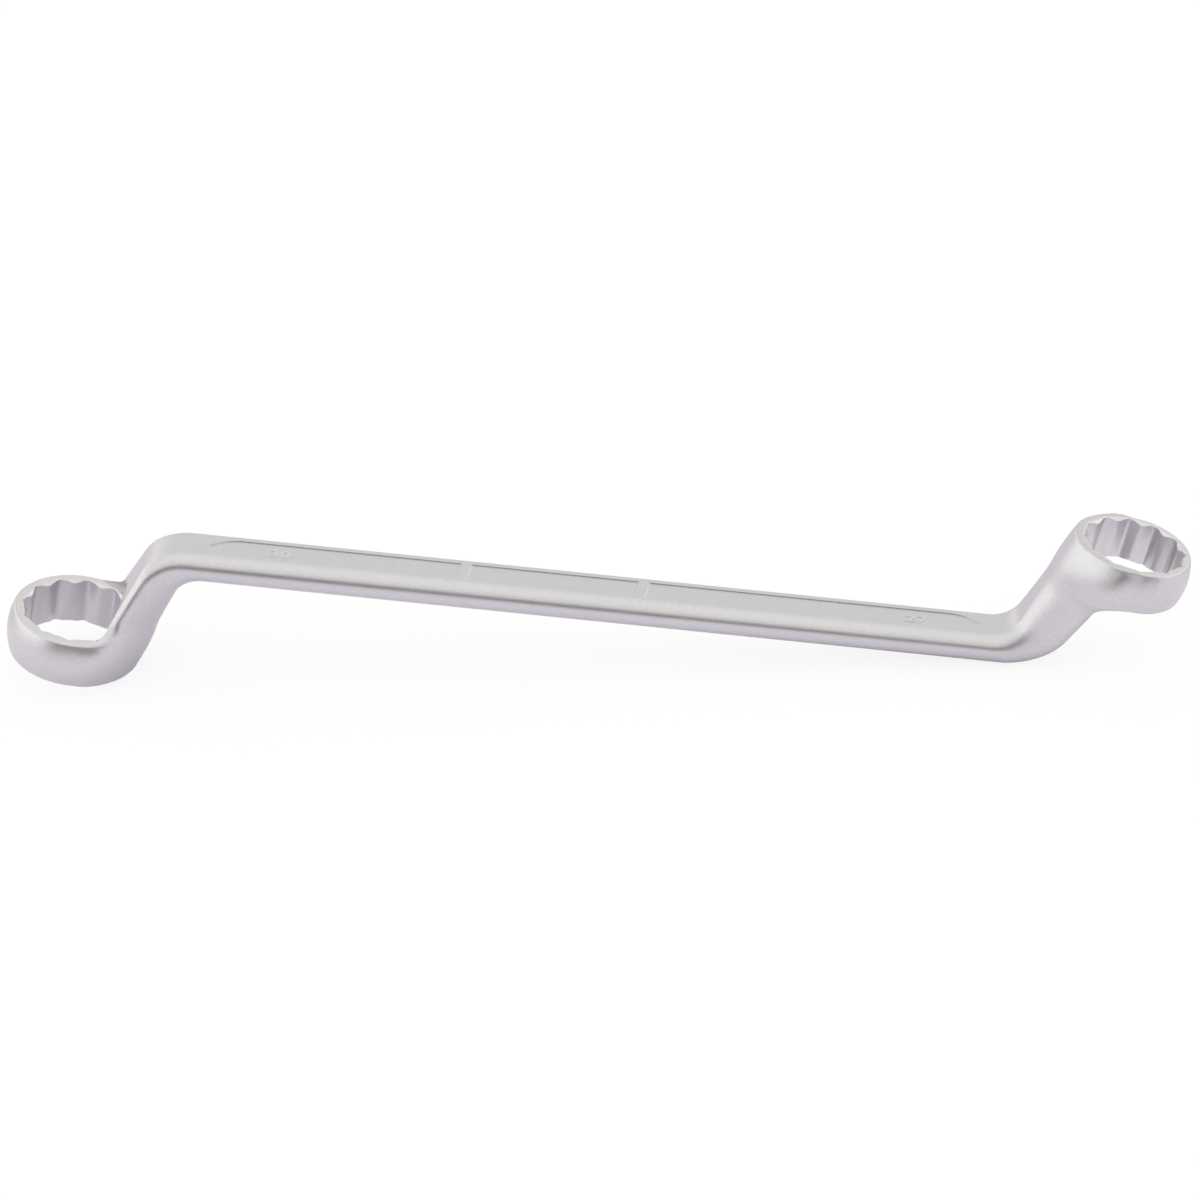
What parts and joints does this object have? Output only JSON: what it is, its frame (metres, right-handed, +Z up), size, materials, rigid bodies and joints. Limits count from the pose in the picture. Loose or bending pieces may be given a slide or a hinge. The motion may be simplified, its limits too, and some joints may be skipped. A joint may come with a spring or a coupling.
{
  "type": "ring spanner",
  "caption": "Double-ended deep-offset ring spanner in satin chromed steel, with twelve-point rings cranked up at one end and down at the other.",
  "frame": {"origin": "middle of the bounding box, on the table plane that the large ring's lower edge and the small end's outer bend stand on", "axes": "+X along the spanner towards the small ring, +Z up from the table, +Y across the spanner, away from the picture's camera"},
  "size_m": [0.3572, 0.0418, 0.0421],
  "materials": {
    "satin_chrome": "satin chrome plate over fine blasted steel"
  },
  "bodies": {
    "root": {"shank": "satin_chrome", "neck_small": "satin_chrome", "neck_large": "satin_chrome", "ring_small": "satin_chrome", "ring_large": "satin_chrome"}
  },
  "joints": []
}
